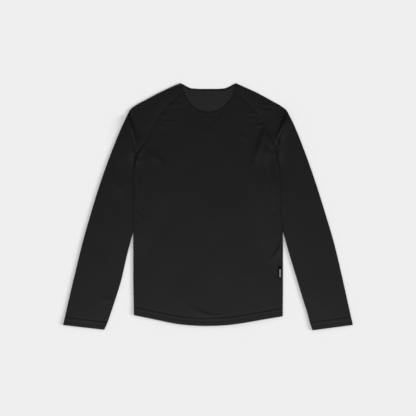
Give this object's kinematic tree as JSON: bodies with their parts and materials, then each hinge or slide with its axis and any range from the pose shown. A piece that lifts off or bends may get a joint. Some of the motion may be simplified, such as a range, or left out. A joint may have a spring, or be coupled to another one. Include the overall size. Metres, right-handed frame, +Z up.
{
  "type": "base layer top",
  "caption": "Long-sleeved raglan crew-neck base layer top in thin black jersey, laid flat with its front up and its sleeves down beside the body.",
  "frame": {"origin": "centre of the bounding box on the surface that the garment lies on", "axes": "+Z up from that surface, +Y up the garment towards its neck, +X towards the wearer's left sleeve (the garment's front faces +Z)"},
  "size_m": [0.8398, 0.7166, 0.0118],
  "materials": {
    "jersey": "matte fine knit with a slight sheen",
    "binding": "matte folded knit binding",
    "label": "woven label, black with a plain off-white bar"
  },
  "bodies": {
    "root": {"front_panel": "jersey", "back_panel": "jersey", "sleeve_right": "jersey", "sleeve_left": "jersey", "neckband": "binding", "side_label": "label"}
  },
  "joints": []
}
